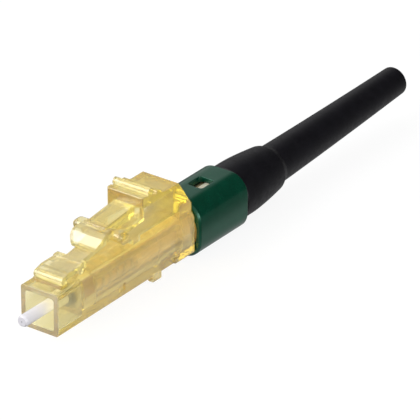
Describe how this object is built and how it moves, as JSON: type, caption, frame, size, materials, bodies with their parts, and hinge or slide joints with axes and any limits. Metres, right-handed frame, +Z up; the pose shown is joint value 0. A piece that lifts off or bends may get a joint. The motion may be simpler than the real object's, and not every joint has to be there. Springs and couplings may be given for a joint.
{
  "type": "lc fibre connector",
  "caption": "Field-installable fibre plug with a square latched nose, ceramic ferrule, finger trigger, turning cam collar that locks the splice, and a tapered rubber boot.",
  "frame": {"origin": "on the ferrule's axis, in the plane of the nose front", "axes": "+Y runs back along the ferrule's axis to the boot, +Z is up on the latch side, +X goes across"},
  "size_m": [0.0062, 0.064, 0.0108],
  "materials": {
    "amber_plastic": "translucent amber polyetherimide, glossy",
    "ceramic": "polished white zirconia",
    "fibre_glass": "polished",
    "dark_metal": "dark nickel, turned",
    "spring_steel": "drawn wire",
    "ivory_plastic": "satin",
    "keel_plastic": "satin",
    "green_plastic": "dark green, glossy",
    "tube_plastic": "natural",
    "crimp_metal": "plated, crimped",
    "boot_rubber": "smooth, matte"
  },
  "bodies": {
    "housing": {"plug_housing": "amber_plastic", "spring_retainer": "ivory_plastic", "coil_spring": "spring_steel"},
    "trigger": {"trigger_lever": "amber_plastic"},
    "latch": {"latch_arm": "amber_plastic"},
    "carrier": {"ferrule": "ceramic", "fibre_stub": "fibre_glass", "ferrule_flange": "dark_metal", "ferrule_holder": "ivory_plastic", "splice_base": "ivory_plastic", "lead_in_tube": "tube_plastic", "crimp_tube": "crimp_metal", "boot": "boot_rubber"},
    "keel": {"splice_keel": "keel_plastic"},
    "cam": {"cam_collar": "green_plastic"}
  },
  "joints": [
    {"name": "trigger_press", "type": "hinge", "parent": "housing", "child": "trigger", "pos_m": [0, 0.0206, 0.004], "axis": [1, 0, 0], "range_deg": [0, 2.45], "stiffness_Nm_per_rad": 0.2},
    {"name": "latch_flex", "type": "hinge", "parent": "housing", "child": "latch", "pos_m": [0, 0.00175, 0.00295], "axis": [-1, 0, 0], "range_deg": [0, 6.8], "stiffness_Nm_per_rad": 0.005},
    {"name": "ferrule_float", "type": "slide", "parent": "housing", "child": "carrier", "axis": [0, 1, 0], "range_m": [0, 0.0006], "stiffness_N_per_m": 6000, "deforming": ["coil_spring"]},
    {"name": "cam_turn", "type": "hinge", "parent": "carrier", "child": "cam", "pos_m": [0, 0.026, 0], "axis": [0, 1, 0], "range_deg": [0, 90]},
    {"name": "keel_press", "type": "slide", "parent": "carrier", "child": "keel", "axis": [0, 0, -1], "range_m": [0, 0.00014]}
  ],
  "couplings": [
    {"joint": "latch_flex", "follows": "trigger_press", "ratio": 2.7475},
    {"joint": "cam_turn", "follows": "keel_press", "rad_per_m": 11200}
  ]
}
